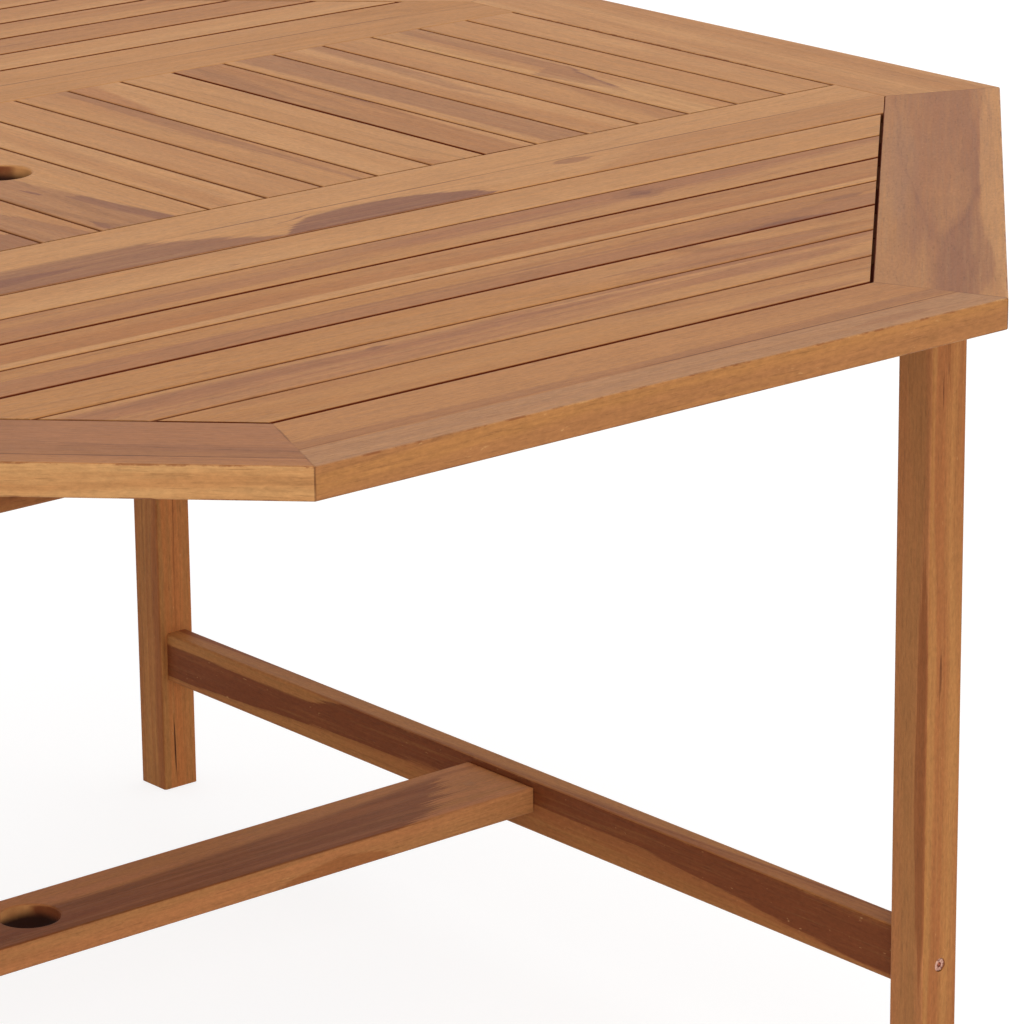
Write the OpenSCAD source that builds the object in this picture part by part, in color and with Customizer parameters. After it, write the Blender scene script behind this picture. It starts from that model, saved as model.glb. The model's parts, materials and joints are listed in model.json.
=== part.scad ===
// Octagonal wooden garden table with a slatted top, four legs and a stretcher frame.
// The origin is the centre of the table at floor level. X runs along the side
// slats, Y runs along the centre slats and Z is up.

/* [Overall] */
// Length of the top along X, from flat to flat
table_length = 1500; // [1300:10:1800]
// Width of the top along Y, from flat to flat
table_width = 1500; // [1400:10:1800]
// Height of the top surface above the floor
table_height = 730; // [550:5:900]
// How far each corner of the top is cut back along both of its sides
corner_cut = 460; // [430:5:490]

/* [Top] */
// Thickness of the rails, stringers and slats
board_t = 22; // [20:0.5:30]
// Width of the eight rim rails
rail_w = 90; // [76:1:110]
// Width of the two stringers
stringer_w = 98; // [60:1:110]
// Width of the centre zone between the stringers
centre_w = 392; // [300:2:420]
// Width of the plank that holds the upper umbrella hole
plank_w = 92; // [80:1:120]
// Gap between neighbouring slats
slat_gap = 2.4; // [1:0.1:5]
// Gap between a side slat's end and the rim
side_end_gap = 2; // [0.4:0.1:4]
// Gap between a centre slat's end and the stringer
centre_end_gap = 0.6; // [0.4:0.1:3]
// Radius on the long edges of the top boards
board_ease = 1.6; // [0.5:0.1:3]

/* [Umbrella holes] */
// Diameter of the hole in the top and of the hole in the long stretcher
umbrella_d = 48; // [36:1:60]
// Radius on the rims of both holes
hole_ease = 2; // [0.5:0.5:4]

/* [Legs and frame] */
// Width of the square legs
leg_w = 36; // [32:1:50]
// How far the legs stand inside the middle of the corner rails
leg_inset = 4; // [0:1:8]
// Radius on the long edges of the legs, aprons and stretchers
frame_ease = 2.4; // [0.5:0.1:4]
// Thickness of the aprons, cross battens and end stretchers
frame_t = 22; // [20:0.5:28]
// Height of the aprons under the top
apron_h = 55; // [50:1:80]
// Height of the cross battens under the top
batten_h = 45; // [40:1:50]
// Distance of each cross batten from the middle of the table
batten_x = 150; // [80:5:300]

/* [Stretchers] */
// Height of the end stretchers' section
end_stretcher_h = 45; // [36:1:70]
// Height of the end stretchers' underside above the floor
end_stretcher_z = 103; // [60:1:250]
// Width of the long stretcher
long_stretcher_w = 85; // [76:1:120]
// Thickness of the long stretcher
long_stretcher_t = 22; // [20:0.5:28]
// How far the long stretcher's top lies below the end stretchers' top
long_stretcher_drop = 5; // [3:0.5:10]

/* [Joinery] */
// Thickness of the slat tongues
tongue_t = 8; // [5:0.5:10]
// Length of the slat tongues beyond the board edge that they enter
tongue_l = 10; // [6:0.5:14]
// Thickness of the apron and batten tenons
tenon_t = 8; // [6:0.5:10]
// Wood between the tip of an apron tenon and the leg dowel
tenon_stop = 2.5; // [1.5:0.5:6]
// Height left above and below an apron or batten tenon
tenon_shoulder = 8; // [5:0.5:12]
// Diameter of the mitre dowels
mitre_dowel_d = 8; // [6:0.5:10]
// Length of the mitre dowels
mitre_dowel_l = 50; // [30:1:60]
// Diameter of the dowels on the leg tops
leg_dowel_d = 10; // [6:0.5:14]
// Length of the leg dowels in the leg
leg_dowel_l = 20; // [10:1:40]
// Clearance around tongues, tenons, dowels and screws
fit_gap = 0.2; // [0.1:0.05:0.4]
// Free depth beyond the tip of tongues, tenons and dowels
tip_gap = 0.5; // [0.3:0.1:1]

/* [Fasteners] */
// Diameter of the connector bolts
bolt_d = 6; // [5:0.5:8]
// Diameter of the connector bolts' heads
bolt_head_d = 10; // [9:0.5:12]
// Height of the connector bolts' heads
bolt_head_h = 3.5; // [3:0.1:4]
// How far a bolt head's face lies below the wood
bolt_recess = 1; // [0.5:0.1:2]
// Size across the corners of the socket in a bolt head
socket_d = 4.6; // [3:0.1:6]
// Depth of the socket in a bolt head
socket_depth = 2; // [1:0.1:2.5]
// Diameter of the barrel nuts
nut_d = 10; // [9:0.5:12]
// Length of the barrel nuts
nut_l = 13; // [12:0.5:14]
// Distance of a barrel nut from the end of its stretcher
nut_inset = 34; // [24:1:50]
// How far a bolt reaches beyond its nut
bolt_spare = 3; // [1:0.5:6]
// Diameter of the top screws
screw_d = 4.5; // [3.5:0.1:5.5]
// Diameter of the top screws' heads
screw_head_d = 8.5; // [7:0.1:10]
// Height of the top screws' heads
screw_head_h = 3; // [2:0.1:4]
// Length of the top screws
screw_l = 46; // [40:1:48]
// How far the top screws bite into the top
screw_bite = 13; // [10:0.5:15]
// Distance of the corner screws from the leg
screw_inset = 12; // [8:1:20]

/* [Hidden] */
$fn = 48;

// Counts of slats in one side zone and in each half of the centre zone
side_slats = 7;
centre_slats = 12;

// Index of each rail, counted anticlockwise from the front
FRONT = 0;
FRONT_RIGHT = 1;
RIGHT = 2;
BACK_RIGHT = 3;
BACK = 4;
BACK_LEFT = 5;
LEFT = 6;
FRONT_LEFT = 7;

// Colours of the finished pieces
top_wood = [0.78, 0.56, 0.36];
slat_wood = [0.74, 0.51, 0.32];
frame_wood = [0.60, 0.37, 0.22];
dowel_wood = [0.86, 0.72, 0.50];
steel = [0.70, 0.70, 0.72];

// Overshoot of cutters through a face
cut = 1;
// Straight pieces in the arc of an eased edge
ease_steps = 4;

// Half sizes of the top and the levels of its underside and its middle
half_l = table_length / 2;
half_w = table_width / 2;
under_z = table_height - board_t;
board_mid_z = table_height - board_t / 2;

// Zones between the plank, the stringers and the rim
stringer_in = centre_w / 2;
stringer_out = stringer_in + stringer_w;
stringer_mid = stringer_in + stringer_w / 2;
side_zone_w = half_w - rail_w - stringer_out;
side_slat_w = (side_zone_w - (side_slats + 1) * slat_gap) / side_slats;
centre_zone_l = half_l - rail_w - plank_w / 2;
centre_slat_w = (centre_zone_l - (centre_slats + 1) * slat_gap) / centre_slats;

// Leg centres, on the inner side of the corner rails' middle line
corner_inset = corner_cut / 2 + (rail_w / 2 + leg_inset) * cos(45);
leg_x = half_l - corner_inset;
leg_y = half_w - corner_inset;
leg_in_x = leg_x - leg_w / 2;
leg_in_y = leg_y - leg_w / 2;
leg_out_y = leg_y + leg_w / 2;

// Lengths of the apron tenons in the legs and of the batten tenons in the aprons
apron_tenon_l = (leg_w - leg_dowel_d) / 2 - tenon_stop;
batten_tenon_l = frame_t / 2;

// Levels of the stretchers
end_stretcher_top = end_stretcher_z + end_stretcher_h;
end_stretcher_mid = end_stretcher_z + end_stretcher_h / 2;
long_stretcher_top = end_stretcher_top - long_stretcher_drop;
long_stretcher_mid = long_stretcher_top - long_stretcher_t / 2;
long_stretcher_end = leg_x - frame_t / 2;

// Depth of a bolt head's bore and length of the bolts under the head
head_bore_depth = bolt_head_h + bolt_recess;
nut_reach = nut_inset + nut_d / 2 + bolt_spare;
leg_bolt_l = leg_w - head_bore_depth + nut_reach;
centre_bolt_l = frame_t - head_bore_depth + nut_reach;

// Place of the long stretcher's nuts, depth of their bores and the plugs above
centre_nut_x = long_stretcher_end - nut_inset;
centre_nut_floor = (long_stretcher_t + nut_l) / 2 + tip_gap;
plug_t = (long_stretcher_t - nut_l) / 2 - tip_gap;

// Corners of the top's outline, moved in by d, anticlockwise from the front rail
function octagon(d) =
  let (
    hx = half_l - d,
    hy = half_w - d,
    shift = corner_cut + d * tan(22.5),
    cx = half_l - shift,
    cy = half_w - shift
  )
  [[-cx, -hy], [cx, -hy], [hx, -cy], [hx, cy], [cx, hy], [-cx, hy], [-hx, cy], [-hx, -cy]];

// Outline of a w by h section with its corners rounded to r
function eased_section(w, h, r) = [
  for (corner = [0 : 3])
    for (step = [0 : ease_steps])
      let (
        angle = 90 * (corner + step / ease_steps),
        cx = (corner == 0 || corner == 3 ? 1 : -1) * (w / 2 - r),
        cy = (corner < 2 ? 1 : -1) * (h / 2 - r)
      )
      [cx + r * cos(angle), cy + r * sin(angle)]
];

// Bars with eased long edges, centred on the origin
module bar_x(l, w, h, r) {
  rotate([90, 0, 90])
    linear_extrude(l, center = true)
      polygon(eased_section(w, h, r));
}

module bar_y(l, w, h, r) {
  rotate([90, 0, 0])
    linear_extrude(l, center = true)
      polygon(eased_section(w, h, r));
}

// Bar along X with all of its edges eased
module block_x(l, w, h, r) {
  intersection() {
    bar_x(l + 2 * cut, w, h, r);
    bar_y(w + 2 * cut, l, h, r);
    linear_extrude(h + 2 * cut, center = true)
      polygon(eased_section(l, w, r));
  }
}

// Points on the eased rim of an umbrella hole, on an arc around level z
function eased_rim(z, start) = [
  for (step = [0 : ease_steps])
    let (angle = start - 90 * step / ease_steps)
    [umbrella_d / 2 + hole_ease * (1 + cos(angle)), z + hole_ease * sin(angle)]
];

// Umbrella hole through a board t thick whose middle is the origin
module umbrella_bore(t) {
  flare = umbrella_d / 2 + hole_ease;
  low = [[0, -t / 2 - cut], [flare, -t / 2 - cut]];
  high = [[flare, t / 2 + cut], [0, t / 2 + cut]];
  rims = concat(eased_rim(hole_ease - t / 2, 270), eased_rim(t / 2 - hole_ease, 180));
  rotate_extrude()
    polygon(concat(low, rims, high));
}

// Rods along X and Y with one end at the origin
module rod_x(l, d) {
  rotate([0, 90, 0])
    cylinder(h = l, d = d);
}

module rod_y(l, d) {
  rotate([-90, 0, 0])
    cylinder(h = l, d = d);
}

// Everything inside the rim line at depth d, h high and centred on the boards
module inside_rim(d, h) {
  translate([0, 0, board_mid_z])
    linear_extrude(h, center = true)
      polygon(octagon(d));
}

// What is drawn on the plus side, turned to the side given by -1 or 1
module facing_x(side) {
  mirror([side < 0 ? 1 : 0, 0, 0])
    children();
}

module facing_y(side) {
  mirror([0, side < 0 ? 1 : 0, 0])
    children();
}

// Copies on both sides of the table
module both_x() {
  for (side = [-1, 1])
    facing_x(side)
      children();
}

module both_y() {
  for (side = [-1, 1])
    facing_y(side)
      children();
}

// Groove along the inner edges of the rim that takes the tongues
module rim_groove() {
  inside_rim(rail_w - tongue_l - tip_gap, tongue_t + 2 * fit_gap);
}

// One mitred rim rail
module rail(side) {
  outer = octagon(0);
  inner = octagon(rail_w);
  next = (side + 1) % 8;
  run = outer[next] - outer[side];
  middle = (outer[side] + outer[next]) / 2;
  color(top_wood)
    difference() {
      intersection() {
        translate([0, 0, under_z])
          linear_extrude(board_t)
            polygon([outer[side], outer[next], inner[next], inner[side]]);
        translate([middle[0], middle[1], board_mid_z])
          rotate([0, 0, atan2(run[1], run[0])])
            translate([0, rail_w / 2, 0])
              bar_x(norm(run), rail_w, board_t, board_ease);
      }
      rim_groove();
      mitre_dowel_rods(fit_gap, tip_gap);
      leg_dowel_rods(fit_gap, tip_gap);
      top_screw_shanks(fit_gap);
    }
}

// One stringer, pointed at both ends where it meets the rim's corners
module stringer(side) {
  color(top_wood)
    facing_y(side)
      difference() {
        union() {
          intersection() {
            translate([0, stringer_mid, board_mid_z])
              bar_x(table_length, stringer_w, board_t, board_ease);
            inside_rim(rail_w, 2 * board_t);
          }
          intersection() {
            translate([-half_l, stringer_in, board_mid_z - tongue_t / 2])
              cube([table_length, stringer_w, tongue_t]);
            inside_rim(rail_w - tongue_l, 2 * board_t);
          }
        }
        translate([-half_l, 0, board_mid_z - tongue_t / 2 - fit_gap])
          cube([table_length, stringer_in + tongue_l + tip_gap, tongue_t + 2 * fit_gap]);
        top_screw_shanks(fit_gap);
      }
}

// One slat of a side zone, counted from the stringer outwards
module side_slat(side, index) {
  near = stringer_out + slat_gap + (index - 1) * (side_slat_w + slat_gap);
  color(slat_wood)
    facing_y(side) {
      intersection() {
        translate([0, near + side_slat_w / 2, board_mid_z])
          bar_x(table_length, side_slat_w, board_t, board_ease);
        inside_rim(rail_w + side_end_gap, 2 * board_t);
      }
      intersection() {
        translate([-half_l, near, board_mid_z - tongue_t / 2])
          cube([table_length, side_slat_w, tongue_t]);
        inside_rim(rail_w - tongue_l, 2 * board_t);
      }
    }
}

// A board across the centre zone with a tongue at each end
module cross_board(w) {
  translate([0, 0, board_mid_z]) {
    bar_y(centre_w - 2 * centre_end_gap, w, board_t, board_ease);
    cube([w, centre_w + 2 * tongue_l, tongue_t], center = true);
  }
}

// The two centre slats at the same distance from the plank
module centre_slat_pair(index) {
  near = plank_w / 2 + slat_gap + (index - 1) * (centre_slat_w + slat_gap);
  color(slat_wood)
    both_x()
      translate([near + centre_slat_w / 2, 0, 0])
        cross_board(centre_slat_w);
}

module centre_plank() {
  color(slat_wood)
    difference() {
      cross_board(plank_w);
      translate([0, 0, board_mid_z])
        umbrella_bore(board_t);
    }
}

// Dowels across the mitres, two at each corner of the rim
module mitre_dowel_rods(gap, tip) {
  outer = octagon(0);
  inner = octagon(rail_w);
  for (corner = [0 : 7]) {
    run = outer[corner] - inner[corner];
    for (share = [1 / 3, 2 / 3]) {
      spot = inner[corner] + run * share;
      translate([spot[0], spot[1], board_mid_z])
        rotate([0, 0, atan2(run[1], run[0])])
          translate([0, -mitre_dowel_l / 2 - tip, 0])
            rod_y(mitre_dowel_l + 2 * tip, mitre_dowel_d + 2 * gap);
    }
  }
}

module mitre_dowels() {
  color(dowel_wood)
    mitre_dowel_rods(0, 0);
}

// Dowels between the legs and the corner rails
module leg_dowel_rods(gap, tip) {
  bite = board_t / 2;
  both_x()
    both_y()
      translate([leg_x, leg_y, under_z - leg_dowel_l - tip])
        cylinder(h = leg_dowel_l + bite + 2 * tip, d = leg_dowel_d + 2 * gap);
}

module leg_dowels() {
  color(dowel_wood)
    leg_dowel_rods(0, 0);
}

// Places of the screws that hold the top, in one quarter of the table
screw_spots = [
  [leg_in_x - screw_inset, leg_y],
  [leg_x, leg_in_y - screw_inset],
  [leg_x, stringer_mid],
  [batten_x, stringer_mid]
];

module at_screws() {
  both_x()
    both_y()
      for (spot = screw_spots)
        translate([spot[0], spot[1], under_z + screw_bite - screw_l])
          children();
}

module top_screw_shanks(gap) {
  at_screws()
    cylinder(h = screw_l + gap, d = screw_d + 2 * gap);
}

// Screw holes with wider bores up to the screw heads from below
module top_screw_bores() {
  top_screw_shanks(fit_gap);
  at_screws()
    translate([0, 0, -apron_h])
      cylinder(h = apron_h + screw_head_h, d = screw_head_d + 4 * fit_gap);
}

module top_screws() {
  color(steel)
    at_screws()
      difference() {
        union() {
          cylinder(h = screw_l, d = screw_d);
          cylinder(h = screw_head_h, d = screw_head_d);
        }
        translate([0, 0, -cut])
          cylinder(h = socket_depth + cut, d = screw_d, $fn = 4);
      }
}

// Tenon at the end of an apron or batten, l long from the origin along X
module tenon(l, h, gap) {
  translate([-gap, -tenon_t / 2 - gap, -h + tenon_shoulder - gap])
    cube([l + gap, tenon_t + 2 * gap, h - 2 * tenon_shoulder + 2 * gap]);
}

// Tenons of the aprons on the legs' inner faces, in one quarter
module apron_tenons(gap, tip) {
  translate([leg_in_x, leg_y, under_z])
    tenon(apron_tenon_l + tip, apron_h, gap);
  translate([leg_x, leg_in_y, under_z])
    rotate([0, 0, 90])
      tenon(apron_tenon_l + tip, apron_h, gap);
}

// Tenon of a cross batten on an apron's inner face, in one quarter
module batten_tenon(gap, tip) {
  translate([batten_x, leg_y - frame_t / 2, under_z])
    rotate([0, 0, 90])
      tenon(batten_tenon_l + tip, batten_h, gap);
}

module apron_x(side) {
  color(frame_wood)
    facing_y(side)
      difference() {
        union() {
          translate([0, leg_y, under_z - apron_h / 2])
            bar_x(2 * leg_in_x, frame_t, apron_h, frame_ease);
          both_x()
            translate([leg_in_x, leg_y, under_z])
              tenon(apron_tenon_l, apron_h, 0);
        }
        both_x()
          batten_tenon(fit_gap, tip_gap);
        top_screw_bores();
      }
}

module apron_y(side) {
  color(frame_wood)
    facing_x(side)
      difference() {
        union() {
          translate([leg_x, 0, under_z - apron_h / 2])
            bar_y(2 * leg_in_y, frame_t, apron_h, frame_ease);
          both_y()
            translate([leg_x, leg_in_y, under_z])
              rotate([0, 0, 90])
                tenon(apron_tenon_l, apron_h, 0);
        }
        top_screw_bores();
      }
}

module cross_batten(side) {
  color(frame_wood)
    facing_x(side)
      difference() {
        union() {
          translate([batten_x, 0, under_z - batten_h / 2])
            bar_y(2 * leg_y - frame_t, frame_t, batten_h, frame_ease);
          both_y()
            batten_tenon(0, 0);
        }
        top_screw_bores();
      }
}

// Button-head bolt along Z: the head's face is at the origin, the shank below it
module connector_bolt(l) {
  difference() {
    union() {
      translate([0, 0, -bolt_head_h])
        cylinder(h = bolt_head_h, d = bolt_head_d);
      translate([0, 0, -bolt_head_h - l])
        cylinder(h = l, d = bolt_d);
    }
    translate([0, 0, -socket_depth])
      cylinder(h = socket_depth + cut, d = socket_d, $fn = 6);
  }
}

// Space that a connector bolt of shank length l takes, from the wood's face
module bolt_bore(l) {
  translate([0, 0, -head_bore_depth])
    cylinder(h = head_bore_depth + cut, d = bolt_head_d + 4 * fit_gap);
  translate([0, 0, -head_bore_depth - l - tip_gap])
    cylinder(h = l + tip_gap + cut, d = bolt_d + 2 * fit_gap);
}

// Place a bolt on the outer face of a leg, in one quarter
module on_leg_face(depth) {
  translate([leg_x, leg_out_y - depth, end_stretcher_mid])
    rotate([-90, 0, 0])
      children();
}

// Place a bolt on the outer face of an end stretcher
module on_stretcher_face(depth) {
  translate([leg_x + frame_t / 2 - depth, 0, long_stretcher_mid])
    rotate([0, 90, 0])
      children();
}

// Barrel nut across the origin along Z
module barrel_nut(gap) {
  difference() {
    cylinder(h = nut_l, d = nut_d, center = true);
    rod_x_through(bolt_d + 2 * gap);
  }
}

module rod_x_through(d) {
  translate([-nut_d, 0, 0])
    rod_x(2 * nut_d, d);
}

module leg(side_x, side_y) {
  color(frame_wood)
    facing_x(side_x)
      facing_y(side_y)
        difference() {
          translate([leg_x, leg_y, 0])
            linear_extrude(under_z)
              polygon(eased_section(leg_w, leg_w, frame_ease));
          apron_tenons(fit_gap, tip_gap);
          leg_dowel_rods(fit_gap, tip_gap);
          on_leg_face(0)
            bolt_bore(leg_bolt_l);
        }
}

// End stretcher with bores for its bolts and nuts, open on the outer side
module end_stretcher(side) {
  nut_bore_l = (frame_t + nut_l) / 2 + tip_gap;
  color(frame_wood)
    facing_x(side)
      difference() {
        translate([leg_x, 0, end_stretcher_mid])
          bar_y(2 * leg_in_y, frame_t, end_stretcher_h, frame_ease);
        both_y() {
          on_leg_face(0)
            bolt_bore(leg_bolt_l);
          translate([leg_x + frame_t / 2 - nut_bore_l, leg_in_y - nut_inset, end_stretcher_mid])
            rod_x(nut_bore_l + cut, nut_d + 2 * fit_gap);
        }
        on_stretcher_face(0)
          bolt_bore(centre_bolt_l);
      }
}

module long_stretcher() {
  color(frame_wood)
    difference() {
      translate([0, 0, long_stretcher_mid])
        block_x(2 * long_stretcher_end, long_stretcher_w, long_stretcher_t, frame_ease);
      both_x() {
        on_stretcher_face(0)
          bolt_bore(centre_bolt_l);
        translate([centre_nut_x, 0, long_stretcher_top - centre_nut_floor])
          cylinder(h = centre_nut_floor + cut, d = nut_d + 2 * fit_gap);
      }
      translate([0, 0, long_stretcher_mid])
        umbrella_bore(long_stretcher_t);
    }
}

module leg_bolts() {
  color(steel)
    both_x()
      both_y()
        on_leg_face(bolt_recess)
          connector_bolt(leg_bolt_l);
}

module leg_bolt_nuts() {
  color(steel)
    both_x()
      both_y()
        translate([leg_x, leg_in_y - nut_inset, end_stretcher_mid])
          rotate([0, 0, 90])
            rotate([90, 0, 0])
              barrel_nut(fit_gap);
}

module centre_bolts() {
  color(steel)
    both_x()
      on_stretcher_face(bolt_recess)
        connector_bolt(centre_bolt_l);
}

module centre_bolt_nuts() {
  color(steel)
    both_x()
      translate([centre_nut_x, 0, long_stretcher_mid])
        barrel_nut(fit_gap);
}

module nut_plugs() {
  color(dowel_wood)
    both_x()
      translate([centre_nut_x, 0, long_stretcher_top - plug_t])
        cylinder(h = plug_t, d = nut_d + fit_gap);
}

rail(FRONT);  // rail_front
rail(FRONT_RIGHT);  // rail_front_right
rail(RIGHT);  // rail_right
rail(BACK_RIGHT);  // rail_back_right
rail(BACK);  // rail_back
rail(BACK_LEFT);  // rail_back_left
rail(LEFT);  // rail_left
rail(FRONT_LEFT);  // rail_front_left
stringer(-1);  // stringer_front
stringer(1);  // stringer_back
side_slat(-1, 1);  // front_slat_1
side_slat(-1, 2);  // front_slat_2
side_slat(-1, 3);  // front_slat_3
side_slat(-1, 4);  // front_slat_4
side_slat(-1, 5);  // front_slat_5
side_slat(-1, 6);  // front_slat_6
side_slat(-1, 7);  // front_slat_7
side_slat(1, 1);  // back_slat_1
side_slat(1, 2);  // back_slat_2
side_slat(1, 3);  // back_slat_3
side_slat(1, 4);  // back_slat_4
side_slat(1, 5);  // back_slat_5
side_slat(1, 6);  // back_slat_6
side_slat(1, 7);  // back_slat_7
centre_plank();
centre_slat_pair(1);  // centre_slats_1
centre_slat_pair(2);  // centre_slats_2
centre_slat_pair(3);  // centre_slats_3
centre_slat_pair(4);  // centre_slats_4
centre_slat_pair(5);  // centre_slats_5
centre_slat_pair(6);  // centre_slats_6
centre_slat_pair(7);  // centre_slats_7
centre_slat_pair(8);  // centre_slats_8
centre_slat_pair(9);  // centre_slats_9
centre_slat_pair(10);  // centre_slats_10
centre_slat_pair(11);  // centre_slats_11
centre_slat_pair(12);  // centre_slats_12
leg(-1, -1);  // leg_front_left
leg(1, -1);  // leg_front_right
leg(-1, 1);  // leg_back_left
leg(1, 1);  // leg_back_right
apron_x(-1);  // apron_front
apron_x(1);  // apron_back
apron_y(-1);  // apron_left
apron_y(1);  // apron_right
cross_batten(-1);  // cross_batten_left
cross_batten(1);  // cross_batten_right
end_stretcher(-1);  // end_stretcher_left
end_stretcher(1);  // end_stretcher_right
long_stretcher();
mitre_dowels();
leg_dowels();
top_screws();
leg_bolts();
leg_bolt_nuts();
centre_bolts();
centre_bolt_nuts();
nut_plugs();
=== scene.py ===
"""Looks of the octagonal garden table: oiled wood grain on every board, steel bolts, stage and camera."""

import json
import math
import random
from collections import namedtuple

import bpy
from mathutils import Matrix, Vector


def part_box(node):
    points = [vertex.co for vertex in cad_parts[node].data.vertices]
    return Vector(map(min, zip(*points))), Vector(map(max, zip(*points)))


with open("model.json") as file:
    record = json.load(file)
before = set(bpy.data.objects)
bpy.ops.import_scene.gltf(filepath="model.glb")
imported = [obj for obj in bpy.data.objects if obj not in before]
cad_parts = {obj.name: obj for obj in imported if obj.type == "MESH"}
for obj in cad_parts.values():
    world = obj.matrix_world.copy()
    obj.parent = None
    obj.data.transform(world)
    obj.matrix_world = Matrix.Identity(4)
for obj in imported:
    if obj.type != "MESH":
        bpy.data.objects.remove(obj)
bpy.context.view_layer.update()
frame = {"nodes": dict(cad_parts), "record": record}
NODES = frame["nodes"]
MM_PER_M = 1000

# Camera, as fitted to the photograph's view of the table
CAMERA_PLACE = Vector((-1.988, -2.958, 1.564))
CAMERA_YAW = math.radians(50.06)
CAMERA_PITCH = math.radians(17.23)
CAMERA_ROLL = math.radians(-0.57)
LENS_MM = 173.7
SENSOR_MM = 36.0
CLIP_END = 200

# Room and lamp: the strength of the room's light, and the lamp's strength, width and direction
ROOM_STRENGTH = 0.78
LAMP_STRENGTH = 1.1
LAMP_WIDTH = math.radians(50)
LAMP_TOWARDS = Vector((-0.28, -0.78, 0.55)).normalized()

# Floor: half its side, how far it lies under the feet, and its greys. What the camera
# sees is a darker matt part that keeps the shadow, lifted to white by a glow.
FLOOR_HALF = 60.0
FLOOR_DROP = 0.0005
FLOOR_GREY = (0.8, 0.8, 0.8, 1)
SHADOW_GREY = (0.3, 0.3, 0.3, 1)
FLOOR_GLOW = 0.80
WHITE = (1, 1, 1, 1)

# The sRGB curve
SRGB_STEPS = 255
SRGB_KNEE = 0.04045
SRGB_SLOPE = 12.92
SRGB_OFFSET = 0.055
SRGB_POWER = 2.4

# Wood and steel colours in daylight, in sRGB steps
BARE = (196, 138, 84)
CREAM = (208, 157, 102)
PALE = (193, 139, 89)
GOLD = (186, 131, 81)
HONEY = (179, 123, 75)
TAN = (169, 113, 68)
ROSE = (162, 107, 70)
UMBER = (147, 96, 64)
HEART = (127, 79, 60)
# A paler, greyer tint of painted sheen, laid where the rails look milky
FAWN_SHEEN = (170, 128, 95)
AMBER = (178, 121, 69)
SPICE = (192, 120, 67)
CEDAR = (188, 124, 77)
RUSSET = (163, 101, 58)
COPPER = (148, 88, 51)
CHESTNUT = (126, 69, 39)
COCOA = (124, 68, 35)
# Painted shade deep in the bores
BARK = (84, 44, 26)
BORE_SHADE = (44, 20, 10)
# Painted shade with dirt, for the walls of gaps and the faces sunk between boards
SHADE_AND_SOOT = (92, 34, 15)
# Steel and its patina, tinted pinkish brown: a painted reflection of the wood
STEEL_WITH_REFLECTION = (214, 166, 146)
PATINA_WITH_REFLECTION = (140, 96, 82)

# Noises: their stretch along, across and through a board or their scale on a line,
# their detail and their roughness
Noise = namedtuple("Noise", "scale detail roughness", defaults=(2.0, 0.5))
BEND = Noise((1.6, 9, 9), 3.0)
ZONES = Noise(60.0)
RINGS = Noise(300.0, 2.0, 0.6)
FIBRES = Noise((11, 460, 460), 3.0, 0.62)
WISPS = Noise((4.5, 130, 130), 3.0, 0.6)
PORES = Noise((60, 800, 800), 1.0)
SPECKS = Noise((170, 420, 420), 3.0, 0.7)
BLOTCHES = Noise((3, 20, 20))
MOTTLE = Noise((28, 90, 90), 3.0, 0.6)
NICKS = Noise((150, 420, 420))
EDGE_MARK_PLACES = Noise((38, 76, 76), 6.0, 0.75)
GAP_SHADE_AND_DIRT_PLACES = Noise((9, 9, 9))
MITRE_PLACES = Noise((34, 34, 34))
GLUE_PLACES = Noise(3.5)
BORE_STAINS = Noise((60, 60, 60), 3.0)
BORE_SHADE_NOISE = Noise((45, 45, 45))
STEEL_SPOTS = Noise((520, 520, 520), 3.0)
TURNING_MARKS = Noise((1800, 300, 1800))
NOISE_MIDDLE = 0.5

# How far a board's noises are moved, where its rings start, and the steps in them
# at a glue line and between the two boards of a pair
SHIFT_REACH = 3
RING_START = (1, 9)
STRIP_STEP = 0.37
STRIP_JUMP = (1.7, 0.4, 0.0)
PAIR_STEP = 0.53

# How strongly each noise bends the rings, tones the plain wood and warps a patch
BEND_REACH = 0.035
RING_TONE = 0.9
WISP_TONE = 1.2
BLOTCH_TONE = 1.3
SIDE_TONE = 0.9
WISP_WARP = 0.008
FIBRE_WARP = 0.006

# Ranges: a value's low and high end, and where given, the results at both
BROAD_FACE = (0.6, 0.8)
UPRIGHT_FACE = (0.80, 0.97, 1.0, 0.0)
ZONE_RANGE = (0.32, 0.68)
FIBRE_MASK = (0.3, 0.55, 0.85, 1.15)
WISP_MASK = (0.3, 0.55, 0.8, 1.1)
RING_LINES = (0.60, 0.80, 0.0, 0.10)
PORE_RANGE = (0.60, 0.74)
PORE_SHADE = (*PORE_RANGE, 0.0, 0.13)
END_SHADE = (0.8, 0.95, 0.0, 0.35)
NICK_RANGE = (0.66, 0.74)
NICK_PLACES = (0.5, 0.62)
EDGE_WEAR_AND_HIGHLIGHT = (0.54, 0.66, 0.0, 0.9)
EDGE_SHADE_LINE = (0.40, 0.52, 0.9, 0.0)
GAP_SHADE_AND_DIRT_FADE = (0.0, 0.0003)
DEEP_FACE = (0.003, 0.004)
MITRE_LINE = (0.0004, 0.0010, 1.0, 0.0)
MITRE_SEEN = (0.35, 0.60, 0.05, 0.5)
GLUE_LINE = (0.0004, 0.0012, 1.0, 0.0)
GLUE_SEEN = (0.38, 0.62, 0.12, 0.7)
BORE_END = (0.35, 0.85)
BORE_SHADE_DEPTH = (0.003, 0.012)
PATINA_AND_REFLECTION_RANGE = (0.35, 0.68)

# Slopes and levels: what a face on top adds, and the level on the narrow faces
SPECK_SHADE = (-0.05, 0.6)
MOTTLE_SHADE = (0.02, 0.22)
NICK_SHADE = (-0.3, 0.5)
MITRE_SIDE = (-0.35, 0.35)

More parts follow.
